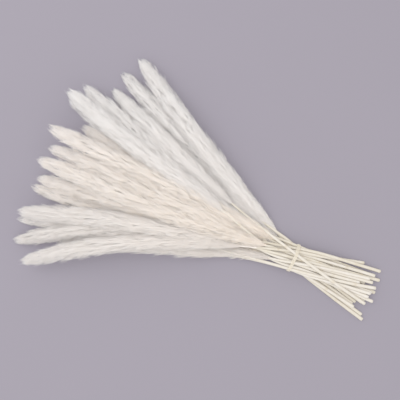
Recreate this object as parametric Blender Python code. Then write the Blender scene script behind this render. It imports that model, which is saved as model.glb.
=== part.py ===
"""Tied bundle of dried, bleached common reed (Phragmites), lying on a flat surface.

Every reed is a stiff culm, called stem here, that carries a feathery panicle, called plume.
The stems cross each other inside a cord that is wound round all of them, so that the reeds
fan out on both sides of it: long plumes towards -X, short cut ends towards +X. The bundle
rests on the plane z = 0, and the origin is the middle of its footprint.

The reeds are first drawn one by one. Then they are settled: they sag, push each other
apart, stay inside the tie and stay above the surface, so that they lie on each other as a
real pile does and never overlap.
"""

import math

import bpy
import numpy as np

MM = 0.001

# --- the reeds ----------------------------------------------------------------------------
CUT_RADIUS = 2.7 * MM  # stem at its cut end
NECK_RADIUS = 1.6 * MM  # stem where the plume begins, and the plume there
PLUME_RADIUS = 9.8 * MM  # firm body of a full-grown plume, without its loose hair
TIP_SHARE = 0.25  # how full-grown a plume still is at its blunt tip
FULL_FROM = 0.55  # of a plume's length: it is full-grown between these
FULL_TO = 0.72
SWELL_POWER = 1.3  # above 1 the plume begins slender, before it swells
BLUNT_POWER = 2.2  # above 1 it stays full for longer, before it narrows to its tip
JOINT_GAP = 0.3 * MM  # between the rims of a stem's end face and its plume's
LAYER_RISE = 20 * MM  # height between layers of plumes, before they settle
LEVEL_RISE = 4.4 * MM  # height between levels of stems in the tie, before they settle
RISE_SHARE = 0.55  # of a reed's reach: where it has risen to its layer
STRAIGHT_SHARE = 0.6  # of its fan: where a reed would point if its plume didn't bend outwards

# --- the tie ------------------------------------------------------------------------------
CORD_RADIUS = 0.7 * MM
CORD_TURNS = 3
CORD_PITCH = 1.75 * MM
POINTS_PER_TURN = 40
CORD_GAP = 0.5 * MM  # between the cord and the stems
ENDS_ANGLE = math.radians(215)  # from +Y over the top: low on the -Y side
END_LENGTH = 8 * MM
END_SPREAD = 2 * MM
END_BEND = 3 * MM
END_POINTS = 6
TIE_HALF_WIDTH = 22 * MM  # the stems are gathered in a flat oval
TIE_HALF_HEIGHT = 12.5 * MM
TIE_SQUARENESS = 2.5  # 2 would be an ellipse
TIE_LIFT = 1.0 * MM  # between the cord and the surface
TIE_HEIGHT = TIE_HALF_HEIGHT + 2 * CORD_RADIUS + CORD_GAP + TIE_LIFT

# --- settling -----------------------------------------------------------------------------
SETTLING_ROUNDS = 400
CLEARING_ROUNDS = 800
PUSHES = 4  # in each round
SAG = 1.0 * MM  # how far a reed would fall in the first round
PLAN_PULL = 0.2  # back to where it was drawn, seen from above
STIFFNESS = 0.07
ROUNDING = 0.4
LAST_ROUNDING = 0.05
EASE = np.array([0.7, 0.7, 1.4])  # a reed is lifted more easily than it is turned aside
SKIN = 0.3 * MM  # half the gap aimed at between two reeds
FLUFF = 0.6 * MM  # how far the hair of a full-grown plume keeps its neighbours off
FLOOR_GAP = 0.05 * MM
LOOK_AHEAD = 3 * MM  # reeds this close are tested for contact
LOOK_EVERY = 4  # rounds
STAGGER = 0.03 * MM  # height between one reed and the next, so that none meet exactly
TINY = 1e-9

# A reed is a chain of points: cut end, tie, neck (where the plume begins) and tip.
CUT_STEPS, BARE_STEPS, PLUME_STEPS = 5, 5, 9
TIE = CUT_STEPS
NECK = TIE + BARE_STEPS
TIP = NECK + PLUME_STEPS

# fan: direction of the tip seen from the tie, in degrees from -X towards +Y. reach: how far
# the tip is from the tie, bare: how much of that is bare stem. across: how far to +Y the stem
# passes the tie. cut: how far past the tie it was cut. size: share of the full radii.
# level: height order in the tie, layer: height order of the plumes, both from 0 at the bottom.
# late: how late the reed bends outwards, 2 for evenly all along, more for near its tip.
REEDS = [
    # fan, reach, bare, across, cut, size, level, layer, late
    (27.3, 404, 56, 15, 141, 1.05, 1, 1, 2),
    (24.5, 330, 66, 8, 138, 0.90, 0, 0, 2),
    (22.3, 407, 112, 13, 138, 1.00, 1, 0, 2),
    (19.5, 344, 118, 2, 128, 0.90, 0, 1, 2),
    (17.9, 399, 136, 6, 141, 0.95, 4, 2, 2),
    (14.2, 435, 104, -4, 124, 1.00, 0, 1, 2),
    (12.6, 374, 92, -10, 146, 0.90, 0, 0, 2),
    (11.5, 444, 146, -12, 126, 1.00, 1, 2, 2),
    (10.4, 447, 124, -19, 150, 1.00, 1, 0, 2),
    (6.8, 402, 74, 7, 148, 0.95, 1, 1, 2),
    (5.0, 366, 92, 1, 134, 0.90, 1, 0, 2),
    (3.1, 439, 54, 14, 126, 1.00, 0, 2, 2),
    (1.4, 369, 90, -6, 149, 0.90, 1, 0, 2),
    (-0.6, 429, 50, -1, 141, 1.00, 2, 1, 2),
    (-2.5, 362, 76, 17, 130, 0.90, 2, 0, 2),
    (-3.9, 434, 52, 5, 126, 1.00, 2, 2, 2),
    (-7.8, 434, 64, -4, 118, 1.00, 3, 1, 2),
    (-8.8, 364, 92, 11, 136, 0.90, 2, 0, 2),
    (-9.9, 440, 84, -13, 138, 0.90, 2, 0, 2),
    (-13.4, 372, 104, 14, 144, 0.90, 3, 1, 2),
    (-15.2, 446, 104, 2, 148, 0.95, 3, 2, 2),
    (-17.0, 452, 126, -7, 138, 0.95, 2, 0, 2),
    (-18.6, 374, 106, -20, 140, 0.85, 2, 1, 2),
    (-21.5, 454, 128, -16, 146, 0.95, 3, 2, 5),
    (-21.2, 384, 80, -8, 131, 0.85, 3, 0, 3),
    (-25.5, 434, 66, 8, 116, 0.95, 3, 2, 8),
]

STEM_COLOUR = (0.80, 0.74, 0.56, 1.0)
STEM_ROUGHNESS = 0.55
PLUME_COLOUR = (0.84, 0.80, 0.73, 1.0)
PLUME_ROUGHNESS = 0.9
CORD_COLOUR = (0.78, 0.73, 0.62, 1.0)
CORD_ROUGHNESS = 0.85


def clear_scene():
    for obj in list(bpy.data.objects):
        bpy.data.objects.remove(obj, do_unlink=True)


def make_material(name, colour, roughness):
    material = bpy.data.materials.new(name)
    material.use_nodes = True
    shader = material.node_tree.nodes["Principled BSDF"]
    shader.inputs["Base Color"].default_value = colour
    shader.inputs["Roughness"].default_value = roughness
    shader.inputs["Metallic"].default_value = 0.0
    return material


# --- drawing the reeds --------------------------------------------------------------------


def plume_swell(along):
    """How full-grown a plume is at a share of its length: 0 is at its neck, 1 at its tip."""
    if along < FULL_FROM:
        return math.sin(math.pi / 2 * along / FULL_FROM) ** SWELL_POWER
    if along < FULL_TO:
        return 1.0
    return 1 - (1 - TIP_SHARE) * ((along - FULL_TO) / (1 - FULL_TO)) ** BLUNT_POWER


def reed_radii(size):
    radii = []
    for step in range(NECK + 1):
        radii.append(CUT_RADIUS + (NECK_RADIUS - CUT_RADIUS) * step / NECK)
    for step in range(1, PLUME_STEPS + 1):
        swell = plume_swell(step / PLUME_STEPS)
        radii.append(NECK_RADIUS + (PLUME_RADIUS - NECK_RADIUS) * swell)
    return size * np.array(radii)


def reed_steps(reach, bare, cut):
    """Lengths of the chain's steps, from the cut end to the tip."""
    return (
        [cut * MM / CUT_STEPS] * CUT_STEPS
        + [bare * MM / BARE_STEPS] * BARE_STEPS
        + [(reach - bare) * MM / PLUME_STEPS] * PLUME_STEPS
    )


def polar(distance, angle):
    """The point at a distance in mm from the tie, at an angle in degrees from +X."""
    angle = math.radians(angle)
    return distance * MM * np.array([math.cos(angle), math.sin(angle)])


def drawn_plan(fan, reach, across, cut, late, share):
    """Seen from above: a straight stem through the tie, whose plume bends further outwards.

    share is how far along the run from the tie to the tip each of the outer points is.
    """
    at_tie = np.array([0, across * MM])
    heading = polar(reach, 180 - STRAIGHT_SHARE * fan) - at_tie
    heading /= np.linalg.norm(heading)
    tip = polar(reach, 180 - fan)
    straight = heading * np.linalg.norm(tip - at_tie)
    t = share[:, None]
    outer = at_tie + straight * t + (tip - at_tie - straight) * t**late
    to_cut = 1 - np.arange(TIE)[:, None] / TIE
    inner = at_tie - heading * cut * MM * to_cut
    return np.concatenate([inner, outer])


def drawn_reeds():
    """Points, radii and step lengths of all reeds as drawn, before they settle."""
    points = np.zeros((len(REEDS), TIP + 1, 3))
    radii = np.zeros((len(REEDS), TIP + 1))
    steps = np.zeros((len(REEDS), TIP))
    middle_level = max(reed[6] for reed in REEDS) / 2
    for i, (fan, reach, bare, across, cut, size, level, layer, late) in enumerate(REEDS):
        radii[i] = reed_radii(size)
        steps[i] = reed_steps(reach, bare, cut)
        share = np.concatenate([[0], np.cumsum(steps[i][TIE:])]) / (reach * MM)
        points[i, :, :2] = drawn_plan(fan, reach, across, cut, late, share)
        at_cut = CUT_RADIUS + LEVEL_RISE * level
        at_tie = TIE_HEIGHT + (level - middle_level) * LEVEL_RISE
        at_tip = PLUME_RADIUS + LAYER_RISE * layer
        # A reed rises early, over the plumes of the layers below, and then runs level.
        rise = np.sin(np.minimum(share / RISE_SHARE, 1.0) * math.pi / 2)
        points[i, TIE:, 2] = at_tie + (at_tip - at_tie) * rise
        points[i, : TIE + 1, 2] = np.linspace(at_cut, at_tie, TIE + 1)
        points[i, :, 2] += STAGGER * i
    return points, radii, steps


# --- settling the reeds -------------------------------------------------------------------


def nearest_shares(offset, along_a, along_b):
    """Shares (s, t) along pairs of segments, at their nearest points and at their ends.

    The segments are cones, so their deepest contact may be at an end of one of them.
    """
    aa = np.einsum("ij,ij->i", along_a, along_a)
    bb = np.einsum("ij,ij->i", along_b, along_b)
    ab = np.einsum("ij,ij->i", along_a, along_b)
    ao = np.einsum("ij,ij->i", along_a, offset)
    bo = np.einsum("ij,ij->i", along_b, offset)
    spread = np.maximum(aa * bb - ab * ab, TINY * aa * bb)
    s = np.clip((ab * bo - ao * bb) / spread, 0, 1)
    t = np.clip((ab * s + bo) / bb, 0, 1)
    s = np.clip((ab * t - ao) / aa, 0, 1)
    tries = [(s, t)]
    for end in (0.0, 1.0):
        tries.append((np.full_like(s, end), np.clip((ab * end + bo) / bb, 0, 1)))
        tries.append((np.clip((ab * end - ao) / aa, 0, 1), np.full_like(s, end)))
    return tries


def deepest_contacts(points, radii, first, second):
    """For every pair of segments: depth, shares s and t, and push of its deepest contact."""
    (i, k), (j, m) = first, second
    along_a, along_b = points[i, k + 1] - points[i, k], points[j, m + 1] - points[j, m]
    offset = points[i, k] - points[j, m]
    deepest = np.full((len(i), 6), -np.inf)
    for s, t in nearest_shares(offset, along_a, along_b):
        between = offset + s[:, None] * along_a - t[:, None] * along_b
        distance = np.maximum(np.linalg.norm(between, axis=1), TINY)
        radius_a = radii[i, k] * (1 - s) + radii[i, k + 1] * s
        radius_b = radii[j, m] * (1 - t) + radii[j, m + 1] * t
        depth = radius_a + radius_b + 2 * SKIN - distance
        found = np.column_stack([depth, s, t, between / distance[:, None]])
        deepest = np.where((depth > deepest[:, 0])[:, None], found, deepest)
    return deepest


def push_apart(points, radii, first, second):
    """Moves every pair of touching segments apart, and returns the deepest overlap found."""
    contacts = deepest_contacts(points, radii, first, second)
    hit = contacts[:, 0] > 0
    if not hit.any():
        return 0.0
    depth, s, t = contacts[hit, :3].T
    push = contacts[hit, 3:] * (0.5 * depth)[:, None] * EASE
    i, k, j, m = (value[hit] for value in (*first, *second))
    move, count = np.zeros_like(points), np.zeros(points.shape[:2])
    for reed, place, share, sign in ((i, k, s, 1), (j, m, t, -1)):
        scale = sign / ((1 - share) ** 2 + share**2)
        for step, weight in ((0, 1 - share), (1, share)):
            np.add.at(move, (reed, place + step), push * (scale * weight)[:, None])
            np.add.at(count, (reed, place + step), weight)
    points += move / np.maximum(count, 1.0)[:, :, None]
    return float(depth.max())


def near_pairs(points, radii):
    """Pairs of segments of different reeds that are close enough to meet soon."""
    middle = (points[:, :-1] + points[:, 1:]) / 2
    half = np.linalg.norm(points[:, 1:] - points[:, :-1], axis=2) / 2
    bulk = np.maximum(radii[:, :-1], radii[:, 1:]) + half + LOOK_AHEAD
    reed, place = np.divmod(np.arange(len(REEDS) * TIP), TIP)
    flat, size = middle.reshape(-1, 3), bulk.ravel()
    apart = np.linalg.norm(flat[:, None] - flat[None], axis=2)
    near = np.triu(apart < size[:, None] + size[None], 1) & (reed[:, None] != reed[None])
    a, b = np.nonzero(near)
    return (reed[a], place[a]), (reed[b], place[b])


def hold_in_tie(points, radii):
    """Keeps every stem inside the rounded oval that the cord makes, at x = 0."""
    points[:, TIE, 0] = 0
    across = np.abs(points[:, TIE, 1]) / (TIE_HALF_WIDTH - radii[:, TIE])
    up = np.abs(points[:, TIE, 2] - TIE_HEIGHT) / (TIE_HALF_HEIGHT - radii[:, TIE])
    outside = (across**TIE_SQUARENESS + up**TIE_SQUARENESS) ** (1 / TIE_SQUARENESS)
    outside = np.maximum(outside, 1.0)
    points[:, TIE, 1] /= outside
    points[:, TIE, 2] = TIE_HEIGHT + (points[:, TIE, 2] - TIE_HEIGHT) / outside


def round_off(points, steps, strength):
    """Rounds the bends: draws every point towards its place between its two neighbours."""
    before, after = steps[:, :-1, None], steps[:, 1:, None]
    between = (points[:, :-2] * after + points[:, 2:] * before) / (before + after)
    points[:, 1:-1] += strength * (between - points[:, 1:-1])


def stiffen(points, steps, strength):
    """Keeps both arms of every reed straight when seen from the side."""
    outer = points[:, TIE:, 2], steps[:, TIE:]
    inner = points[:, TIE::-1, 2], steps[:, TIE - 1 :: -1]
    for heights, lengths in (outer, inner):
        reach = np.cumsum(lengths, axis=1)
        rise = heights[:, 1:] - heights[:, :1]
        slope = rise.sum(axis=1, keepdims=True) / reach.sum(axis=1, keepdims=True)
        heights[:, 1:] += strength * (reach * slope - rise)


def settle(points, radii, steps):
    """Lets the reeds sag and push until they lie on each other without overlap."""
    plan = points[:, :, :2].copy()
    floor = radii + FLOOR_GAP
    room = radii.copy()
    room[:, NECK + 1 :] *= 1 + FLUFF / PLUME_RADIUS
    for turn in range(SETTLING_ROUNDS + CLEARING_ROUNDS):
        unrest = max(1 - turn / SETTLING_ROUNDS, 0)
        points[:, :, 2] -= SAG * unrest
        points[:, :, :2] += PLAN_PULL * unrest * (plan - points[:, :, :2])
        round_off(points, steps, ROUNDING * unrest + LAST_ROUNDING)
        stiffen(points, steps, STIFFNESS * unrest)
        if turn % LOOK_EVERY == 0:
            pairs = near_pairs(points, room)
        for _ in range(PUSHES):
            depth = push_apart(points, room, *pairs)
            hold_in_tie(points, radii)
            points[:, :, 2] = np.maximum(points[:, :, 2], floor)
        if unrest == 0 and depth < SKIN:
            break
    print(f"settled in {turn} rounds, {(2 * SKIN - depth) / MM:.2f} mm clear everywhere")


# --- the solids ---------------------------------------------------------------------------


def make_tube(name, points, radii, material, collection):
    """A closed tube of changing radius, with eight sides, along a chain of points."""
    curve = bpy.data.curves.new(name, "CURVE")
    curve.dimensions = "3D"
    curve.bevel_depth = 1.0
    curve.bevel_resolution = 2
    curve.use_fill_caps = True
    spline = curve.splines.new("POLY")
    spline.points.add(len(points) - 1)
    for target, place, radius in zip(spline.points, points, radii):
        target.co = (*place, 1.0)
        target.radius = radius
    curve.materials.append(material)
    obj = bpy.data.objects.new(name, curve)
    collection.objects.link(obj)
    return obj


def moved_end(end, neighbour, distance):
    """The end point of a chain, drawn back towards its neighbour."""
    along = neighbour - end
    return end + along * distance / np.linalg.norm(along)


def neck_setback(points, radii):
    """How far a stem and its plume are each drawn back where they bend into one another."""
    before, after = points[NECK] - points[NECK - 1], points[NECK + 1] - points[NECK]
    cosine = before @ after / (np.linalg.norm(before) * np.linalg.norm(after))
    half_bend = math.acos(min(cosine, 1.0)) / 2
    return (JOINT_GAP / 2 + radii[NECK] * math.sin(half_bend)) / math.cos(half_bend)


def make_stem(number, points, radii, material, collection):
    chain = points[: NECK + 1].copy()
    chain[-1] = moved_end(chain[-1], chain[-2], neck_setback(points, radii))
    return make_tube(f"stem_{number:02d}", chain, radii[: NECK + 1], material, collection)


def make_plume(number, points, radii, material, collection):
    chain = points[NECK:].copy()
    chain[0] = moved_end(chain[0], chain[1], neck_setback(points, radii))
    return make_tube(f"plume_{number:02d}", chain, radii[NECK:], material, collection)


def stems_at(points, radii, x):
    """Centres (y, z) and radii of all stems where they cross the plane at x."""
    found = []
    for chain, radius in zip(points, radii):
        along_x, y, z = chain[NECK::-1].T
        found.append([np.interp(x, along_x, value) for value in (y, z, radius[NECK::-1])])
    return np.array(found)


def round_the_stems(points, radii, x, angle):
    """Centre of a tight cord round the stems at x. The angle runs round the tie's oval."""
    facing = np.array([TIE_HALF_HEIGHT * math.cos(angle), TIE_HALF_WIDTH * math.sin(angle)])
    facing /= np.linalg.norm(facing)
    edges = (-CORD_RADIUS, 0, CORD_RADIUS)
    stems = np.concatenate([stems_at(points, radii, x + edge) for edge in edges])
    outer = stems[np.argmax(stems[:, :2] @ facing + stems[:, 2])]
    y, z = outer[:2] + facing * (outer[2] + CORD_RADIUS + CORD_GAP)
    return np.array([x, y, max(z, CORD_RADIUS + FLOOR_GAP)])


def loose_end(start, heading, end):
    """Points of the cord from just after start to end, when it leaves along heading."""
    bend = start + heading * END_BEND
    shares = [(step + 1) / END_POINTS for step in range(END_POINTS)]
    return [start * (1 - t) ** 2 + bend * 2 * t * (1 - t) + end * t**2 for t in shares]


def make_tie(points, radii, material, collection):
    """The cord: tight turns round the stems, and its two ends, low on the -Y side."""
    path = []
    for step in range(CORD_TURNS * POINTS_PER_TURN + 1):
        turn = step / POINTS_PER_TURN
        x = (turn - CORD_TURNS / 2) * CORD_PITCH
        path.append(round_the_stems(points, radii, x, ENDS_ANGLE + 2 * math.pi * turn))
    ends = []
    for last, before, side in ((path[0], path[1], -1), (path[-1], path[-2], 1)):
        heading = (last - before) / np.linalg.norm(last - before)
        end = last + np.array([side * END_LENGTH, -END_SPREAD, 0])
        end[2] = CORD_RADIUS + FLOOR_GAP
        ends.append(loose_end(last, heading, end))
    path = ends[0][::-1] + path + ends[1]
    return make_tube("tie_cord", path, [CORD_RADIUS] * len(path), material, collection)


def centre_on_surface(objects, collection):
    """Moves the bundle so that the middle of its footprint is at the origin, and z = 0."""
    bpy.context.view_layer.update()
    graph = bpy.context.evaluated_depsgraph_get()
    corners = []
    for obj in objects:
        evaluated = obj.evaluated_get(graph)
        corners += [vertex.co.copy() for vertex in evaluated.to_mesh().vertices]
        evaluated.to_mesh_clear()
    low, high = np.min(corners, axis=0), np.max(corners, axis=0)
    bundle = bpy.data.objects.new("reed_bundle", None)
    bundle.location = (-(low[0] + high[0]) / 2, -(low[1] + high[1]) / 2, -low[2])
    collection.objects.link(bundle)
    for obj in objects:
        obj.parent = bundle


def main():
    clear_scene()
    collection = bpy.data.collections.new("reed_bundle")
    bpy.context.scene.collection.children.link(collection)
    stem_material = make_material("bleached_stem", STEM_COLOUR, STEM_ROUGHNESS)
    plume_material = make_material("bleached_plume", PLUME_COLOUR, PLUME_ROUGHNESS)
    cord_material = make_material("cotton_cord", CORD_COLOUR, CORD_ROUGHNESS)

    points, radii, steps = drawn_reeds()
    settle(points, radii, steps)

    parts = []
    for i in range(len(REEDS)):
        parts.append(make_stem(i + 1, points[i], radii[i], stem_material, collection))
        parts.append(make_plume(i + 1, points[i], radii[i], plume_material, collection))
    parts.append(make_tie(points, radii, cord_material, collection))
    centre_on_surface(parts, collection)


main()
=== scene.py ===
import math

import bmesh
import bpy
import numpy as np
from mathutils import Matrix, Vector


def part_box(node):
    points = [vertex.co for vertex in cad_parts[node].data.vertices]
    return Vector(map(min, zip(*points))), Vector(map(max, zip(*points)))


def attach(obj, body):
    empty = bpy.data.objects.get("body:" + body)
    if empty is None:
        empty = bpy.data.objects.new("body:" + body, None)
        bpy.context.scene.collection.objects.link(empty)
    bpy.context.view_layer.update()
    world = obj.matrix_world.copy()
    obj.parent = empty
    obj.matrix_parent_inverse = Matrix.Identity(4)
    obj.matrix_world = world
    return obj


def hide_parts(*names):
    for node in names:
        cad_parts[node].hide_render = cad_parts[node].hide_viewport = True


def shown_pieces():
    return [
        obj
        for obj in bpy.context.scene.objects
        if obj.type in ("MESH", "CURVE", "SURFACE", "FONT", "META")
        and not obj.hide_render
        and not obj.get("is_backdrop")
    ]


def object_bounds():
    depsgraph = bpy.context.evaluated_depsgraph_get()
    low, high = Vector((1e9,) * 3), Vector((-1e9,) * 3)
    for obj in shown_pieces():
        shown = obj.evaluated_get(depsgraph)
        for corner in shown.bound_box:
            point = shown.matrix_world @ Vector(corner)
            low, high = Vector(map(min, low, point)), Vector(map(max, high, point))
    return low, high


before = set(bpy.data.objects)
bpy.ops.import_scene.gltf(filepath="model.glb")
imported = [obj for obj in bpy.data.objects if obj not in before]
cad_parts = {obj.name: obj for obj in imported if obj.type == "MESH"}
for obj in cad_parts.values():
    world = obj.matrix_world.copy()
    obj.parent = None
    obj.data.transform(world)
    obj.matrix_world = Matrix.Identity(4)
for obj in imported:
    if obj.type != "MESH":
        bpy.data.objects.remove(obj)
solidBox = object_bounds()
mm = 0.001
reedCount = sum(name.startswith("plume_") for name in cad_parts)
tieLow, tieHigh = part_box("tie_cord")
print(f"frame loaded: {reedCount} reeds")


# meshes and pieces

def rod(bm, sides, tipRadius, cuts):
    # a rod or a cone with a radius of 1 from z = 0 to z = 1, its long edges cut into even lengths
    bmesh.ops.create_cone(bm, segments=sides, radius1=1.0, radius2=tipRadius, depth=1.0,
                          cap_ends=True)
    if cuts:
        long = [e for e in bm.edges if e.verts[0].co.z * e.verts[1].co.z < 0]
        bmesh.ops.subdivide_edges(bm, edges=long, cuts=cuts)
    bmesh.ops.translate(bm, verts=bm.verts, vec=(0, 0, 0.5))


def rootFaces(bm):
    # what closes a rod at z = 0: the faces that look straight down
    return [f for f in bm.faces if f.normal.z < -0.9]


def meshFrom(bm, name):
    mesh = bpy.data.meshes.new(name)
    bm.to_mesh(mesh)
    bm.free()
    return mesh


def pieceFrom(mesh, finish):
    mesh.materials.append(finish)
    mesh.shade_smooth()
    piece = bpy.data.objects.new(mesh.name, mesh)
    bpy.context.scene.collection.objects.link(piece)
    return piece


def joined(name, meshes, finish):
    bm = bmesh.new()
    for mesh in meshes:
        bm.from_mesh(mesh)
        bpy.data.meshes.remove(mesh)
    return pieceFrom(meshFrom(bm, name), finish)


def standsFor(piece, slot, *nodes):
    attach(piece, "root")
    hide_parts(*nodes)


# reading where the reeds lie

tubeSides = 8  # of the solid stems, plumes and cord
sameSpot = 0.01 * mm  # corners this close are one
lineStep = 1 * mm  # between the places at which a reed's line is worked out
lineBefore = 2 * mm  # how far a reed's line goes straight on before its cut end
lineAfter = 30 * mm  # and past its tip


def tubeRings(nodeName):
    # centres and radii of a solid tube's rings, from the end with the most +X to the other
    bm = bmesh.new()
    bm.from_mesh(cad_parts[nodeName].data)
    bmesh.ops.remove_doubles(bm, verts=bm.verts, dist=sameSpot)
    start = max(bm.verts, key=lambda v: v.co.x)
    layer = sorted(bm.verts, key=lambda v: (v.co - start.co).length)[:tubeSides]
    seen, centres, radii = set(), [], []
    while layer:
        seen.update(layer)
        middle = sum((v.co for v in layer), Vector()) / len(layer)
        centres.append(middle)
        radii.append(sum((v.co - middle).length for v in layer) / len(layer))
        near = {e.other_vert(v) for v in layer for e in v.link_edges}
        layer = [v for v in near if v not in seen]
    bm.free()
    return np.array(centres), np.array(radii)


def stepsOf(points):
    return np.linalg.norm(np.diff(points, axis=0), axis=1)


def lengthAlong(points):
    return np.concatenate([[0], np.cumsum(stepsOf(points))])


def unit(vectors):
    return vectors / np.linalg.norm(vectors, axis=-1)[..., None]


def smoothLine(points, step):
    # even samples of a smooth line through the points, and how far along each point is
    points = np.asarray(points, float)
    gaps, at = stepsOf(points), lengthAlong(points)
    slopes = np.gradient(points, at, axis=0)
    fine = np.linspace(0, at[-1], max(int(at[-1] / step), 2) + 1)
    k = np.clip(np.searchsorted(at, fine, side="right") - 1, 0, len(gaps) - 1)
    h = gaps[k][:, None]
    t = ((fine - at[k]) / gaps[k])[:, None]
    line = (points[k] * (1 + 2 * t) * (1 - t) ** 2 + slopes[k] * h * t * (1 - t) ** 2
            + points[k + 1] * t**2 * (3 - 2 * t) - slopes[k + 1] * h * t**2 * (1 - t))
    return line, at


class Centreline:
    # a line in space with a side and an up direction all along it, read by length
    def __init__(self, points, radii):
        line, at = smoothLine(points, lineStep)
        ahead = unit(np.gradient(line, axis=0))
        length = lengthAlong(line)
        radiusAt = np.interp(np.linspace(0, 1, len(line)), at / at[-1], radii)
        self.length = length[-1]
        self.line = np.vstack([line[0] - ahead[0] * lineBefore, line, line[-1] + ahead[-1] * lineAfter])
        self.at = np.concatenate([[-lineBefore], length, [length[-1] + lineAfter]])
        self.ahead = np.vstack([ahead[0], ahead, ahead[-1]])
        self.radiusAt = np.concatenate([radiusAt[:1], radiusAt, radiusAt[-1:]])
        self.side = unit(np.cross([0, 0, 1], self.ahead))
        self.up = np.cross(self.ahead, self.side)

    def read(self, values, s):
        if values.ndim == 1:
            return np.interp(s, self.at, values)
        return np.stack([np.interp(s, self.at, column) for column in values.T], axis=-1)

    def place(self, s, a, b):
        # the point at length s, a to the side and b up
        return (self.read(self.line, s) + self.read(self.side, s) * a[..., None]
                + self.read(self.up, s) * b[..., None])

    def radius(self, s):
        return self.read(self.radiusAt, s)


reeds = []
for number in range(1, reedCount + 1):
    stemPoints, stemRadii = tubeRings(f"stem_{number:02d}")
    plumePoints, plumeRadii = tubeRings(f"plume_{number:02d}")
    line = Centreline(np.vstack([stemPoints, plumePoints[1:]]),
                      np.concatenate([stemRadii, plumeRadii[1:]]))
    neck = stepsOf(stemPoints).sum()  # lengths are measured from the cut end
    tie = np.interp(-(tieLow.x + tieHigh.x) / 2, -line.line[:, 0], line.at)
    reeds.append({"number": number, "line": line, "neck": neck, "tie": tie,
                  "neckRadius": line.radius(neck)})
print("centrelines read")


# material kit

class Value:
    # one output of a material's node; arithmetic on it adds Math nodes
    def __init__(self, finish, socket):
        self.finish, self.socket = finish, socket

    def maths(self, operation, *terms):
        return self.finish.node("ShaderNodeMath", {"operation": operation}, *terms)

    def __add__(self, other):
        return self.maths("ADD", self, other)

    def __sub__(self, other):
        return self.maths("SUBTRACT", self, other)

    def __rsub__(self, other):
        return self.maths("SUBTRACT", other, self)

    def __mul__(self, other):
        return self.maths("MULTIPLY", self, other)

    __radd__, __rmul__ = __add__, __mul__

    def limited(self):
        return self.finish.node("ShaderNodeClamp", {}, self)


class Finish:
    # a material and its node tree
    def __init__(self, name):
        self.material = bpy.data.materials.new(name)
        self.material.use_nodes = True
        self.tree = self.material.node_tree
        self.shader = self.tree.nodes["Principled BSDF"]

    def node(self, kind, settings, *values, out=0, **named):
        # settings first, then the sockets in order, then the sockets by name
        made = self.tree.nodes.new(kind)
        for key, setting in settings.items():
            setattr(made, key, setting)
        for key, value in [*enumerate(values), *named.items()]:
            self.plug(made.inputs[key], value)
        return Value(self, made.outputs[out])

    def plug(self, socket, value):
        if isinstance(value, Value):
            self.tree.links.new(value.socket, socket)
        else:
            socket.default_value = value

    def surface(self, **sockets):
        # keys are the shader's socket names, with _ for a space
        for key, value in sockets.items():
            self.plug(self.shader.inputs[key.replace("_", " ")], value)
        return self.material

    def mix(self, share, first, second):
        made = self.tree.nodes.new("ShaderNodeMix")
        made.data_type = "RGBA"
        for key, value in (("Factor_Float", share), ("A_Color", first), ("B_Color", second)):
            socket = next(s for s in made.inputs if s.identifier == key)
            self.plug(socket, (*value, 1.0) if isinstance(value, tuple) else value)
        return Value(self, next(s for s in made.outputs if s.identifier == "Result_Color"))

    def mapped(self, mapName):
        # the two values of a piece's own map
        spot = self.node("ShaderNodeUVMap", {"uv_map": mapName})
        return [self.node("ShaderNodeSeparateXYZ", {}, spot, out=k) for k in (0, 1)]

    def noise(self, vector, scale, detail=2.0):
        return self.node("ShaderNodeTexNoise", {}, Vector=vector, Scale=scale, Detail=detail)

    def noiseAt(self, x, y, z, detail=2.0):
        return self.noise(self.node("ShaderNodeCombineXYZ", {}, x, y, z), 1.0, detail)

    def solidNoise(self, scale, detail):
        # on Object coordinates, with the scale in patterns a metre
        return self.noise(self.node("ShaderNodeTexCoord", {}, out=3), scale, detail)


def linear(red, green, blue):
    # a colour as it looks on screen, 0 to 255, in the shader's linear values
    shown = [value / 255 for value in (red, green, blue)]
    return tuple(v / 12.92 if v <= 0.04045 else ((v + 0.055) / 1.055) ** 2.4 for v in shown)


# plumes

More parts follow.
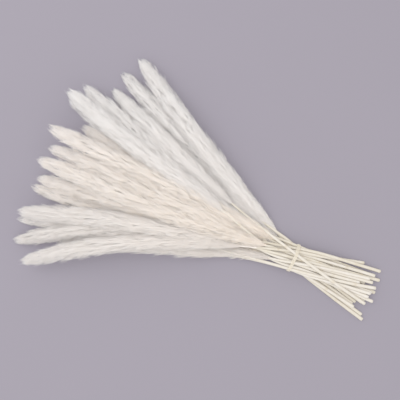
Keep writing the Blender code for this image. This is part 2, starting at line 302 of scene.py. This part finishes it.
plumeLook = {
    "seed": 7,
    "triangles": (28500, 36000, 44000),  # for plumes low in the pile, in the middle, on top

    # how far out the hair reaches, and where it begins and ends
    "fullest": 15.6 * mm,
    "startsBefore": 14 * mm,  # how far down from the neck it begins, where the bare stem is short
    "bareStem": (60 * mm, 150 * mm),  # between these lengths it begins nearer and nearer the neck
    "leastBefore": 0.5,  # of startsBefore, on long bare stems
    "lowStarts": 45 * mm,  # how far down it begins on plumes at the bottom of the pile,
    "lowFrom": 60 * mm,  # but not nearer than this to the tie
    # these reeds' hair begins that much further from the tie, or nearer to it
    "further": {2: -22 * mm, 4: -40 * mm, 16: 12 * mm, 17: 48 * mm, 19: -40 * mm, 25: -40 * mm,
                26: 34 * mm},
    "fillsIn": (26 * mm, 60 * mm),  # how soon a plume is full, in the middle and at the sides of the fan
    "outermost": 3,  # power: above 1 only the plumes near the sides fill in late
    "tipBeyond": 4 * mm,  # how far it runs past the solid plume's tip
    "tipTaper": 88 * mm,  # how far back from there it begins to round off
    "tipBlunt": 2 * mm,
    "tipLeast": 0.02,  # of tipTaper: it rounds off no further than this
    "free": 0.75,  # of that reach: up to there hair lies as it grew, and past it it is drawn in

    # branches sweep forwards from the middle stalk, all round it
    "branches": 110,
    "branchesOver": 0.93,  # of the plume's length
    "branchLength": (35 * mm, 65 * mm),
    "branchWidth": 0.22 * mm,
    "branchOut": (0.45, 0.9),  # of the reach, at their tips
    "branchTurn": 0.3,  # radians: how unevenly they stand round the stalk
    "branchEnds": 4 * mm,  # how unevenly the last ones end
    "branchBow": 0.7,  # below 1 a branch leaves the stalk steeply, and then lies down

    # locks are thicker bunches of hair deep in the plume
    "locks": 300,
    "locksOver": (0.02, 0.86),  # of the plume's length
    "lockLength": (28 * mm, 52 * mm),
    "lockWidth": (0.51 * mm, 1.105 * mm),
    "lockOut": (0.55, 0.7),  # of the reach: no further at their roots and at their tips
    "lockTurn": 0.5,
    "lockEnds": 10 * mm,  # before the tip
    "lockTint": 0.01,  # how much their places in the colours scatter

    # the stalk goes on from the stem
    "stalkShare": 0.95,  # of the stem's radius
    "stalkOverlap": 1 * mm,
    "stalkEnds": 4 * mm,  # before the solid plume's tip
    "stalkTint": 0.5,

    # tufts grow out of the branches
    "tufts": 560,
    "tuftsFrom": (0.15, 1.0),  # of a branch's length
    "tuftsOutward": 0.8,  # power: below 1 there are more of them near the branch's tip
    "tuftLength": (15.4 * mm, 28.6 * mm),
    "tuftShare": 0.36,  # of all hair
    "tuftTurn": 0.5,
    "tuftRoot": 2.1 * mm,  # how wide a tuft is
    "tuftTip": 1.5 * mm,
    "tuftDepth": 0.55,  # of a tuft's length: its hair has its roots in this part
    "tuftUneven": 3 * mm,
    "tuftsEnd": 34 * mm,  # from the tip: there the hair stands singly
    "fewestTufts": 0.1,  # of the usual share, at the tip

    # wisps are small bunches that stand out from the rest, near the surface
    "wisps": 460,
    "wispsOver": 0.99,  # of the plume's length
    "wispShare": 0.24,  # of all hair
    "wispLength": (6.5 * mm, 19.5 * mm),
    "wispWidth": 2.0 * mm,
    "wispGathers": 0.5,  # of that width, at its tip
    "wispOut": (0.6, 0.92),  # of the reach, at their roots
    "wispTurn": 0.35,
    "wispOpening": (10.0, 38.0),
    "wispSlack": (0.95, 1.42),
    "wispPast": 5 * mm,  # how much further than other hair they may run past the tip

    # single hairs fill the plume evenly
    "hairOver": 0.97,  # of the plume's length
    "hairLength": (10.2 * mm, 23.8 * mm),
    "hairWidth": (0.12 * mm, 0.28 * mm),
    "hairOut": 0.9,  # of the reach
    "hairTurn": 0.7,
    "hairTint": 0.02,
    "opening": (3.0, 24.0),  # degrees between a hair and the line of the plume
    "mostlyClosed": 1.3,  # power: above 1 most hair opens little
    "slack": (0.78, 1.18),  # how far a hair gets, as a share of the reach
    "mostlyIn": 1.4,  # power: above 1 only a few hairs get far out
    "rootSlack": 0.85,  # of that, at its root
    "hairPast": 3 * mm,  # how far it may run past the tip
    "tipScatter": 14 * mm,
    "mostlyFull": 1.5,  # power: above 1 only a few hairs end early
    "shortest": 0.6,  # of its length, which a hair keeps where the tip stops it

    # lie and light
    "flattenBelow": 4 * mm,  # hair that would come nearer the floor than this lies down on it
    "softness": 0.65,  # how much hair faces out from the middle of the plume
    "facesAhead": 0.3,  # and towards its tip

    # colours: hair tips, and hair roots, whose tan is painted warm shade deep in the plume
    "white": (linear(251, 248, 247), linear(244, 233, 224)),
    "cream": (linear(254, 246, 242), linear(248, 227, 200)),
    "ivory": (linear(247, 241, 238), linear(241, 226, 211)),
    "firstCream": 10,  # number of the reed
    "firstIvory": 20,
    "rootShadeFades": 0.6,  # how much of the roots' painted shade a hair loses towards its tip
    "paleEnd": 0.38,  # how much paler the plume gets to its end
    "pale": 0.32,  # and all over
    "strandPattern": (240.0, 2.0),  # streaks: how many along the plume, and along a hair
    "strandContrast": 0.35,
    "patchPattern": 7.0,
    "patchContrast": 0.5,
    "patchSeed": 5.0,
    "roughness": (0.82, 0.12),  # most, and how much less where the streaks are pale
    "sheen": (0.25, 0.6),
    "specular": 0.25,
}

strandMap = "OFBake"
mapMargin = 0.02  # of the map, left free before the roots and after the tips
strandSpan = 0.003  # of the map's width, for one strand
tintLimits = (0.01, 0.99)
goldenAngle = 2.39996  # radians: no two branches stand in a row
allRound = (0, 2 * math.pi)
evenly = 0.5  # power that spreads places evenly over a disc
leastRoom = 0.05 * mm  # for hair that is drawn in where the reach is nearly nothing
tiny = 1e-6  # keeps a division from 0


def strandShape(name, rings, sides=3, thickest=0.0):
    # a closed strand from z = 0 to z = 1 with a pointed tip, and a pointed root if it is
    # thickest further up
    bm = bmesh.new()
    rod(bm, sides, 0.0, rings - 1)
    if thickest:
        root = bmesh.ops.poke(bm, faces=rootFaces(bm))["verts"][0]
        for v in bm.verts:
            v.co.z = thickest + (1 - thickest) * v.co.z
        root.co = (0, 0, 0)
    bmesh.ops.recalc_face_normals(bm, faces=bm.faces)
    return meshFrom(bm, name)


def copiesOf(shape, count):
    # one mesh that holds the shape count times, all in the same place
    holder = bpy.data.objects.new("holder", shape)
    bpy.context.scene.collection.objects.link(holder)
    row = holder.modifiers.new("row", "ARRAY")
    row.use_relative_offset = False
    row.count = count
    ready = holder.evaluated_get(bpy.context.evaluated_depsgraph_get())
    mesh = bpy.data.meshes.new_from_object(ready)
    bpy.data.objects.remove(holder)
    return mesh


def corners(mesh):
    co = np.zeros(len(mesh.vertices) * 3)
    mesh.vertices.foreach_get("co", co)
    return co.reshape(-1, 3)


def layStrands(line, shape, roots, tips, bow, width, tint):
    # copies of a strand shape, each from its root to its tip in (length, side, up) along a line
    look = plumeLook
    mesh = copiesOf(shape, len(roots))
    x, y, t = corners(shape).T
    bend = (t**bow)[None, :]
    s = roots[:, :1] + (tips - roots)[:, :1] * t[None]
    a = roots[:, 1:2] + (tips - roots)[:, 1:2] * bend
    b = roots[:, 2:3] + (tips - roots)[:, 2:3] * bend
    place = line.place(s, a + width[:, None] * x[None], b + width[:, None] * y[None])
    near = look["flattenBelow"]
    low = place[..., 2] < near
    place[..., 2][low] = near * np.exp((place[..., 2][low] - near) / near)
    mesh.vertices.foreach_set("co", place.ravel())
    # the map: tint along u, root to tip along v; each side gets a little width of its own
    u = tint[:, None] + strandSpan * (x + 0.5 * y)[None]
    v = np.broadcast_to(mapMargin + (1 - 2 * mapMargin) * t, u.shape)
    spots = np.stack([np.clip(u, 0, 1), v], axis=-1).reshape(-1, 2)
    corner = np.zeros(len(mesh.loops), int)
    mesh.loops.foreach_get("vertex_index", corner)
    layer = mesh.uv_layers.new(name=strandMap)
    layer.data.foreach_set("uv", spots[corner].ravel())
    # hair catches the light as the soft body that it makes up, so it faces out from the line
    outwards = look["softness"] / look["fullest"]
    facing = (line.read(line.side, s) * (a * outwards + x[None])[..., None]
              + line.read(line.up, s) * (b * outwards + y[None])[..., None]
              + line.read(line.ahead, s) * look["facesAhead"])
    return mesh, unit(facing).reshape(-1, 3)


def polarPlaces(s, out, angle):
    return np.column_stack([s, out * np.cos(angle), out * np.sin(angle)])


def angleOf(places):
    return np.arctan2(places[:, 2], places[:, 1])


class Plume:
    # a plume in the making; places in it are (length, side, up) along its reed
    def __init__(self, reed):
        self.reed, self.line, self.first = reed, reed["line"], reed["first"]
        self.last = self.line.length + plumeLook["tipBeyond"]
        self.run = self.last - self.first
        self.random = np.random.default_rng(plumeLook["seed"] * 100 + reed["number"])
        self.meshes, self.facings = [], []

    def drawn(self, least, most, count, power=1.0):
        # random values; a power above 1 brings most of them near the least
        return least + (most - least) * self.random.random(count) ** power

    def scatter(self, spread, count):
        return self.random.normal(0, spread, count)

    def reach(self, s):
        # how far out the hair reaches at each length
        look = plumeLook
        swell = 1 - np.exp(-np.clip(s - self.first, 0, None) / self.reed["fillsIn"])
        fromTip = np.clip((self.last + look["tipBlunt"] - s) / look["tipTaper"], look["tipLeast"], 1)
        return look["fullest"] * self.reed["size"] * swell * np.sqrt(1 - (1 - fromTip) ** 2)

    def heldIn(self, places, slack):
        # draws places softly in to that reach
        share = plumeLook["free"]
        out = np.hypot(places[:, 1], places[:, 2])
        free = share * slack * self.reach(places[:, 0])
        room = np.maximum(free * (1 - share) / share, leastRoom)
        most = np.where(out > free, free + room * (1 - np.exp(-(out - free) / room)), out)
        places[:, 1:] *= (most / np.maximum(out, tiny))[:, None]
        return places

    def opened(self, length, outward, opening):
        # the steps from the roots to the tips of hairs that lean outwards
        lean = np.radians(self.drawn(*opening, len(length), plumeLook["mostlyClosed"]))
        return polarPlaces(length * np.cos(lean), length * np.sin(lean), outward)

    def tintAt(self, s, spread):
        # places in the colours, which go with the places along the plume
        return np.clip((s - self.first) / self.run + self.scatter(spread, len(s)), *tintLimits)

    def lay(self, shape, roots, tips, width, tint, bow=1.0):
        mesh, facing = layStrands(self.line, shape, roots, tips, bow, width, tint)
        self.meshes.append(mesh)
        self.facings.append(facing)

    def growBranches(self):
        look, count = plumeLook, plumeLook["branches"]
        turn = np.arange(count)
        root = self.first + self.run * look["branchesOver"] * (turn + self.drawn(0, 1, count)) / count
        length = self.drawn(*look["branchLength"], count)
        end = np.minimum(root + length, self.last - self.drawn(0, look["branchEnds"], count))
        angle = turn * goldenAngle + self.scatter(look["branchTurn"], count)
        out = self.reach(end) * self.drawn(*look["branchOut"], count, evenly)
        self.branchRoots = polarPlaces(root, np.zeros(count), angle)
        self.branchTips = polarPlaces(end, out, angle)
        self.lay(branchShape, self.branchRoots, self.branchTips, np.full(count, look["branchWidth"]),
                 self.tintAt(root, 0), look["branchBow"])

    def growLocks(self):
        look, count = plumeLook, plumeLook["locks"]
        root = self.first + self.run * self.drawn(*look["locksOver"], count)
        length = self.drawn(*look["lockLength"], count)
        end = np.minimum(root + length, self.last - look["lockEnds"])
        angle = self.drawn(*allRound, count)
        outAtRoot, outAtTip = look["lockOut"]
        inner = self.reach(root) * self.drawn(0, outAtRoot, count, evenly)
        outer = self.reach(end) * self.drawn(0, outAtTip, count, evenly)
        turned = angle + self.scatter(look["lockTurn"], count)
        width = self.drawn(*look["lockWidth"], count)
        self.lay(lockShape, polarPlaces(root, inner, angle), polarPlaces(end, outer, turned), width,
                 self.tintAt(end, look["lockTint"]))

    def growStalk(self):
        look = plumeLook
        root = np.array([[self.reed["neck"] - look["stalkOverlap"], 0, 0]])
        tip = np.array([[self.line.length - look["stalkEnds"], 0, 0]])
        width = np.array([look["stalkShare"] * self.reed["neckRadius"]])
        self.lay(stalkShape, root, tip, width, np.array([look["stalkTint"]]))

    def growTufts(self):
        # only the middles of the tufts; hairInTufts fills them
        look, count = plumeLook, plumeLook["tufts"]
        branch = self.random.integers(0, look["branches"], count)
        share = self.drawn(*look["tuftsFrom"], count, look["tuftsOutward"])
        bent = share ** look["branchBow"]
        self.tuftRoots = self.branchRoots[branch] + (
            (self.branchTips - self.branchRoots)[branch] * np.column_stack([share, bent, bent]))
        outward = angleOf(self.tuftRoots) + self.scatter(look["tuftTurn"], count)
        length = self.drawn(*look["tuftLength"], count)
        self.tuftTips = self.tuftRoots + self.opened(length, outward, look["opening"])

    def hairInTufts(self, count):
        look = plumeLook
        tuft = self.random.integers(0, look["tufts"], count)
        share = self.drawn(0, look["tuftDepth"], count)[:, None]
        roots = self.tuftRoots[tuft] * (1 - share) + self.tuftTips[tuft] * share
        roots += self.scatter(1, (count, 3)) * look["tuftRoot"] * (1 - share)
        tips = self.tuftTips[tuft] + self.scatter(1, (count, 3)) * look["tuftTip"]
        tips[:, 0] += self.scatter(look["tuftUneven"], count)
        toTip = self.last - self.tuftTips[tuft, 0]
        return roots, tips, np.clip(toTip / look["tuftsEnd"], look["fewestTufts"], 1)

    def hairBetween(self, count):
        look = plumeLook
        s = self.first + self.run * self.drawn(0, look["hairOver"], count)
        out = self.reach(s) * self.drawn(0, look["hairOut"], count, evenly)
        roots = polarPlaces(s, out, self.drawn(*allRound, count))
        outward = angleOf(roots) + self.scatter(look["hairTurn"], count)
        length = self.drawn(*look["hairLength"], count)
        return roots, roots + self.opened(length, outward, look["opening"])

    def hairInWisps(self, count):
        look, wisps = plumeLook, plumeLook["wisps"]
        s = self.first + self.run * self.drawn(0, look["wispsOver"], wisps)
        angle = self.drawn(*allRound, wisps)
        wispRoots = polarPlaces(s, self.reach(s) * self.drawn(*look["wispOut"], wisps), angle)
        length = self.drawn(*look["wispLength"], wisps)
        outward = angle + self.scatter(look["wispTurn"], wisps)
        wispTips = wispRoots + self.opened(length, outward, look["wispOpening"])
        slack = self.drawn(*look["wispSlack"], wisps)
        wisp = self.random.integers(0, wisps, count)
        offset = self.scatter(1, (count, 3)) * look["wispWidth"]
        return wispRoots[wisp] + offset, wispTips[wisp] + look["wispGathers"] * offset, slack[wisp]

    def growHair(self, triangles):
        # takes up the triangles that are left: in the tufts, in the wisps, and evenly between them
        look = plumeLook
        used = sum(len(mesh.polygons) * 2 for mesh in self.meshes)  # nearly all have four sides
        count = int((triangles - used) / len(hairShape.polygons))
        inTuft, endInTuft, manyTufts = self.hairInTufts(count)
        between, endBetween = self.hairBetween(count)
        inWisp, endInWisp, wispSlack = self.hairInWisps(count)
        kind = self.drawn(0, 1, count)
        tufted = (kind < look["tuftShare"] * manyTufts)[:, None]
        wispy = kind > 1 - look["wispShare"]
        roots = np.where(tufted, inTuft, np.where(wispy[:, None], inWisp, between))
        tips = np.where(tufted, endInTuft, np.where(wispy[:, None], endInWisp, endBetween))
        # the plume's tip stops hair that would run far past it
        ahead = tips[:, 0] - roots[:, 0]
        stop = self.last + look["hairPast"] - self.drawn(0, look["tipScatter"], count, look["mostlyFull"])
        stop += wispy * self.drawn(0, look["wispPast"], count)
        tips[:, 0] = np.minimum(tips[:, 0], stop)
        roots[:, 0] = np.minimum(roots[:, 0], tips[:, 0] - look["shortest"] * ahead)
        slack = self.drawn(*look["slack"], count, look["mostlyIn"])
        slack = np.where(wispy, wispSlack, slack)
        roots = self.heldIn(roots, look["rootSlack"] * slack)
        tips = self.heldIn(tips, slack)
        width = self.drawn(*look["hairWidth"], count)
        self.lay(hairShape, roots, tips, width, self.tintAt(tips[:, 0], look["hairTint"]))


def makePlume(reed, finish):
    plume = Plume(reed)
    plume.growBranches()
    plume.growLocks()
    plume.growStalk()
    plume.growTufts()
    plume.growHair(plumeLook["triangles"][reed["third"]])
    piece = joined(f"featherPlume{reed['number']:02d}", plume.meshes, finish)
    piece.data.normals_split_custom_set_from_vertices(np.concatenate(plume.facings))
    return piece


def plumeFinish(number, shade):
    look, f, seed = plumeLook, Finish(f"plumeHair{number:02d}"), float(number - 1)
    parts, along = f.mapped(strandMap)
    streaks, each = look["strandPattern"]
    strand = f.noiseAt(parts * streaks, along * each, seed)
    patch = f.noiseAt(parts * look["patchPattern"], 0.0, seed + look["patchSeed"])
    uneven = (strand - 0.5) * look["strandContrast"] + (patch - 0.5) * look["patchContrast"]
    # share goes from the roots' painted warm shade to the tips' colour, with the hair's own streaks and
    # patches on top
    share = (along * look["rootShadeFades"] + (parts - 0.5) * look["paleEnd"] + uneven + look["pale"]).limited()
    tipColour, shadedRootColour = look[shade]
    rough, smoother = look["roughness"]
    sheen, sheenRoughness = look["sheen"]
    return f.surface(Base_Color=f.mix(share, shadedRootColour, tipColour), Roughness=rough - strand * smoother,
                     Sheen_Weight=sheen, Sheen_Roughness=sheenRoughness,
                     Specular_IOR_Level=look["specular"])


def planHair(reed, usualNeck, furthestOut):
    # where a reed's hair begins, how wide it gets and how soon
    look, neck = plumeLook, reed["neck"]
    shortest, longest = look["bareStem"]
    before = np.clip((longest - (neck - reed["tie"])) / (longest - shortest), look["leastBefore"], 1)
    reed["first"] = neck - look["startsBefore"] * before
    if reed["third"] == 0:
        lowest = max(neck - look["lowStarts"], reed["tie"] + look["lowFrom"])
        reed["first"] = min(reed["first"], lowest)
    reed["first"] += look["further"].get(reed["number"], 0)
    reed["size"] = reed["neckRadius"] / usualNeck
    outside = abs(reed["line"].line[-1, 1]) / furthestOut
    soon, late = look["fillsIn"]
    reed["fillsIn"] = soon + (late - soon) * outside ** look["outermost"]


def shadeOf(number):
    if number < plumeLook["firstCream"]:
        return "white"
    return "cream" if number < plumeLook["firstIvory"] else "ivory"


hairShape = strandShape("hairStrand", rings=1)
lockShape = strandShape("lockStrand", rings=2, thickest=0.3)
branchShape = strandShape("branchStrand", rings=4)
stalkShape = strandShape("stalkStrand", rings=40, sides=6)

usualNeck = np.mean([reed["neckRadius"] for reed in reeds])
furthestOut = max(abs(reed["line"].line[-1, 1]) for reed in reeds)
heights = [reed["line"].line[:, 2].max() for reed in reeds]
for reed, rank in zip(reeds, np.argsort(np.argsort(heights))):
    reed["third"] = int(3 * rank / len(reeds))  # of the pile: 0 is low, 1 in the middle, 2 on top
    planHair(reed, usualNeck, furthestOut)
for reed in reeds:
    number = reed["number"]
    plume = makePlume(reed, plumeFinish(number, shadeOf(number)))
    standsFor(plume, "plume", f"plume_{number:02d}")
print("plumes made")


# stems

stemLook = {
    "seed": 11,
    "sides": 12,
    "rings": 60,
    "fuller": 1.06,  # than the solid stem
    "fullerAtTie": 0.08,  # added to that, where the stems lie close
    "tightFor": 45 * mm,  # how far from the tie they do
    "aboveFloor": 0.05 * mm,
    "boreShare": 0.48,  # of the stem's radius
    "boreDepth": 6 * mm,

    # joints are rings where the stem swells a little
    "firstJoint": (25 * mm, 90 * mm),
    "jointEvery": (70 * mm, 120 * mm),
    "lastJoint": 20 * mm,  # at least, before the neck
    "jointLength": 1.6 * mm,
    "jointSwell": 0.08,

    "pale": linear(214, 206, 195),
    "straw": linear(192, 179, 152),
    "joint": linear(180, 158, 122),
    "jointShare": 0.6,  # how strong the joints' colour is
    # painted shade deep inside the bore of the cut end
    "boreShade": linear(120, 100, 70),
    "tan": 0.1,  # how straw-coloured a stem is all over
    "lowStemShade": 0.55,  # painted warm shade, added to that on the lowest stems, which lie under the others
    "lowShadeFades": 1.5,  # power: above 1 only stems near the bottom have it
    "mapLength": 100 * mm,  # of stem, as one unit of its map
    "detail": 3.0,
    "ribs": (22.0, 2.2),  # patterns round the stem and along its map
    "ribColour": (0.45, 0.7),  # the pattern's middle, and its contrast
    "ribDepth": (0.35, 0.25 * mm),
    "blotches": (1.6, 9.0),
    "blotchColour": (0.4, 1.1),
    "roughness": (0.5, 0.2),  # least, and how much more on the ribs
    "specular": 0.3,
}


def stemFinish(number, tan):
    look, f, seed = stemLook, Finish(f"stemSkin{number:02d}"), float(number - 1)
    around, along = f.mapped("stemMap")
    ribRound, ribAlong = look["ribs"]
    blotchRound, blotchAlong = look["blotches"]
    ribs = f.noiseAt(around * ribRound, along * ribAlong, seed, look["detail"])
    blotch = f.noiseAt(around * blotchRound, along * blotchAlong, seed, look["detail"])
    mark = f.node("ShaderNodeAttribute", {"attribute_name": "joint"}, out=2)
    inside = f.node("ShaderNodeAttribute", {"attribute_name": "inside"}, out=2)
    ribMiddle, ribContrast = look["ribColour"]
    blotchMiddle, blotchContrast = look["blotchColour"]
    uneven = (ribs - ribMiddle) * ribContrast + (blotch - blotchMiddle) * blotchContrast
    # the tan argument is painted warm shade on the stems that lie low, under the others; look["tan"] is
    # the stems' own straw tone
    colour = f.mix((uneven + look["tan"] + tan).limited(), look["pale"], look["straw"])
    colour = f.mix(mark * look["jointShare"], colour, look["joint"])
    # painted shade, darkest at the bottom of the bore
    colour = f.mix(inside, colour, look["boreShade"])
    strength, depth = look["ribDepth"]
    bump = f.node("ShaderNodeBump", {}, Height=ribs, Strength=strength, Distance=depth)
    smooth, rougher = look["roughness"]
    return f.surface(Base_Color=colour, Roughness=smooth + ribs * rougher, Normal=bump,
                     Specular_IOR_Level=look["specular"])


def jointPlaces(random, neck):
    places = []
    at = random.uniform(*stemLook["firstJoint"])
    while at < neck - stemLook["lastJoint"]:
        places.append(at)
        at += random.uniform(*stemLook["jointEvery"])
    return places


def makeStem(reed, finish):
    look, line, neck = stemLook, reed["line"], reed["neck"]
    random = np.random.default_rng(look["seed"] * 100 + reed["number"])
    bm = bmesh.new()
    insideMark = bm.verts.layers.float.new("inside")
    jointMark = bm.verts.layers.float.new("joint")
    around = bm.loops.layers.uv.new("stemMap")
    rod(bm, look["sides"], 1.0, look["rings"])
    # the cut end is a short open tube with a thin wall
    cut = rootFaces(bm)
    bmesh.ops.inset_region(bm, faces=cut, thickness=1 - look["boreShare"], use_even_offset=False)
    for pushed in bmesh.ops.extrude_face_region(bm, geom=cut)["geom"]:
        if isinstance(pushed, bmesh.types.BMVert):
            pushed.co.z += look["boreDepth"] / neck
            pushed[insideMark] = 1.0
    for face in bm.faces:
        turns = [math.atan2(loop.vert.co.y, loop.vert.co.x) / (2 * math.pi) for loop in face.loops]
        for loop, turn in zip(face.loops, turns):
            if max(turns) - turn > 0.5:  # across the seam
                turn += 1
            loop[around].uv = (turn, loop.vert.co.z * neck / look["mapLength"])
    co = np.array([v.co for v in bm.verts])
    s = co[:, 2] * neck
    swell = np.zeros(len(s))
    for at in jointPlaces(random, neck):
        swell += np.exp(-((s - at) / look["jointLength"]) ** 2)
    fromTie = (s - reed["tie"]) / look["tightFor"]
    fuller = look["fuller"] + look["fullerAtTie"] * np.exp(-(fromTie**2)) + look["jointSwell"] * swell
    radius = line.radius(s) * fuller
    place = line.place(s, co[:, 0] * radius, co[:, 1] * radius)
    place[:, 2] = np.maximum(place[:, 2], look["aboveFloor"])
    for v, spot, mark in zip(bm.verts, place, swell):
        v.co = spot
        v[jointMark] = min(mark, 1.0)
    bmesh.ops.recalc_face_normals(bm, faces=bm.faces)
    return pieceFrom(meshFrom(bm, f"cutStem{reed['number']:02d}"), finish)


highestCut = max(reed["line"].line[0, 2] for reed in reeds)
for reed in reeds:
    number = reed["number"]
    lowness = 1 - reed["line"].line[0, 2] / highestCut
    # the lowest stems get painted warm shade, as they lie under the others
    stem = makeStem(reed, stemFinish(number, stemLook["lowStemShade"] * lowness ** stemLook["lowShadeFades"]))
    standsFor(stem, "stem", f"stem_{number:02d}")
print("stems made")


# tie

cordLook = {
    "strands": 3,
    "sides": 6,
    "step": 0.7 * mm,  # between a strand's rings
    "twistLength": 3.4 * mm,
    "strandRadius": 0.40 * mm,
    "colour": (linear(236, 226, 204), linear(205, 188, 156)),
    "fibres": 900.0,  # a metre
    "detail": 3.0,
    "fibreDepth": (0.4, 0.2 * mm),
    "roughness": (0.9, 0.1),  # most, and how much less on the fibres
    "sheen": 0.2,
}


def cordFinish(name):
    look, f = cordLook, Finish(name)
    fibre = f.solidNoise(look["fibres"], look["detail"])
    colour = f.mix(fibre, *look["colour"])
    strength, depth = look["fibreDepth"]
    bump = f.node("ShaderNodeBump", {}, Height=fibre, Strength=strength, Distance=depth)
    rough, smoother = look["roughness"]
    return f.surface(Base_Color=colour, Roughness=rough - fibre * smoother, Normal=bump,
                     Sheen_Weight=look["sheen"])


def makeCord(nodeName, finish):
    look = cordLook
    points, radii = tubeRings(nodeName)
    line, _ = smoothLine(points, look["step"])
    ahead = unit(np.gradient(line, axis=0))
    side = unit(np.cross(ahead, [1, 0, 0]))
    up = np.cross(ahead, side)
    off = radii.mean() - look["strandRadius"]
    meshes = []
    for strand in range(look["strands"]):
        bm = bmesh.new()
        rod(bm, look["sides"], 1.0, len(line) - 2)
        twist = 2 * math.pi * (lengthAlong(line) / look["twistLength"] + strand / look["strands"])
        middle = line + off * (np.cos(twist)[:, None] * side + np.sin(twist)[:, None] * up)
        for v in bm.verts:
            k = round(v.co.z * (len(line) - 1))
            v.co = middle[k] + look["strandRadius"] * (v.co.x * side[k] + v.co.y * up[k])
        bmesh.ops.recalc_face_normals(bm, faces=bm.faces)
        meshes.append(meshFrom(bm, "cordStrand"))
    return joined("twistedCord", meshes, finish)


standsFor(makeCord("tie_cord", cordFinish("cottonCord")), "cord", "tie_cord")
print("tie made")


# floor, light and camera

stage = {
    "floorSize": 6.0,
    "floorColour": (linear(111, 105, 118), linear(103, 98, 110)),
    "clouds": 6.0,  # a metre
    "cloudDetail": 4.0,
    "cloudShare": 0.25,  # how much of the second colour they bring
    "floorRoughness": 0.9,
    "floorSpecular": 0.2,

    "turn": 25.0,  # degrees: how far the view's right is turned from +X to +Y
    "aim": (-0.1777, 0.0208),  # from the tie to the middle of the view
    "height": 0.02,  # of the reeds
    "width": 0.648,  # what the view spans at that height
    "lens": 50.0,
    "sensor": 36.0,

    # from the middle of the view: to the right, up in the view, above it; then size and watts
    "lights": {"softKey": (-0.75, 0.35, 1.5, 1.8, 14.7), "softFill": (0.9, -1.2, 1.3, 1.8, 5.6)},
    "air": (1.0, 0.985, 0.97, 1.0),
    "airStrength": 1.0,
    "gamma": 1.7,  # as soft as white hair in daylight looks
}


def floorFinish():
    f = Finish("studioFloor")
    cloud = f.solidNoise(stage["clouds"], stage["cloudDetail"])
    colour = f.mix(cloud * stage["cloudShare"], *stage["floorColour"])
    return f.surface(Base_Color=colour, Roughness=stage["floorRoughness"],
                     Specular_IOR_Level=stage["floorSpecular"])


def areaLight(name, place, size, watts, aim):
    data = bpy.data.lights.new(name, "AREA")
    data.shape = "DISK"
    data.size, data.energy = size, watts
    light = bpy.data.objects.new(name, data)
    light.location = place
    light.rotation_euler = (aim - place).to_track_quat("-Z", "Y").to_euler()
    bpy.context.scene.collection.objects.link(light)


bm = bmesh.new()
bmesh.ops.create_grid(bm, x_segments=1, y_segments=1, size=stage["floorSize"] / 2)
pieceFrom(meshFrom(bm, "studioFloor"), floorFinish())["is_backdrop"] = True

turn = math.radians(stage["turn"])
right = Vector((math.cos(turn), math.sin(turn), 0))
upward = Vector((-math.sin(turn), math.cos(turn), 0))
tieSpot = (tieLow + tieHigh) / 2
aim = Vector((tieSpot.x + stage["aim"][0], tieSpot.y + stage["aim"][1], stage["height"]))
for name, (across, along, above, size, watts) in stage["lights"].items():
    place = aim + upward * along + right * across + Vector((0, 0, above))
    areaLight(name, place, size, watts, aim)

world = bpy.data.worlds.new("studioAir")
world.use_nodes = True
air = world.node_tree.nodes["Background"].inputs
air["Color"].default_value = stage["air"]
air["Strength"].default_value = stage["airStrength"]
bpy.context.scene.world = world
bpy.context.scene.view_settings.view_transform = "Standard"
bpy.context.scene.view_settings.gamma = stage["gamma"]

cameraData = bpy.data.cameras.new("camera")
cameraData.lens, cameraData.sensor_width = stage["lens"], stage["sensor"]
camera = bpy.data.objects.new("camera", cameraData)
camera.location = aim + Vector((0, 0, stage["width"] * stage["lens"] / stage["sensor"]))
camera.rotation_euler = (0, 0, turn)
bpy.context.scene.collection.objects.link(camera)
bpy.context.scene.camera = camera
print("stage set")

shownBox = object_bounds()
growth = [(shownBox[1][k] - shownBox[0][k] - solidBox[1][k] + solidBox[0][k]) / mm for k in range(3)]
print("grown by", [round(g, 1) for g in growth], "mm")
total = sum(len(o.data.loop_triangles) or sum(len(p.vertices) - 2 for p in o.data.polygons)
            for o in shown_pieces())
print(f"{total} triangles shown")
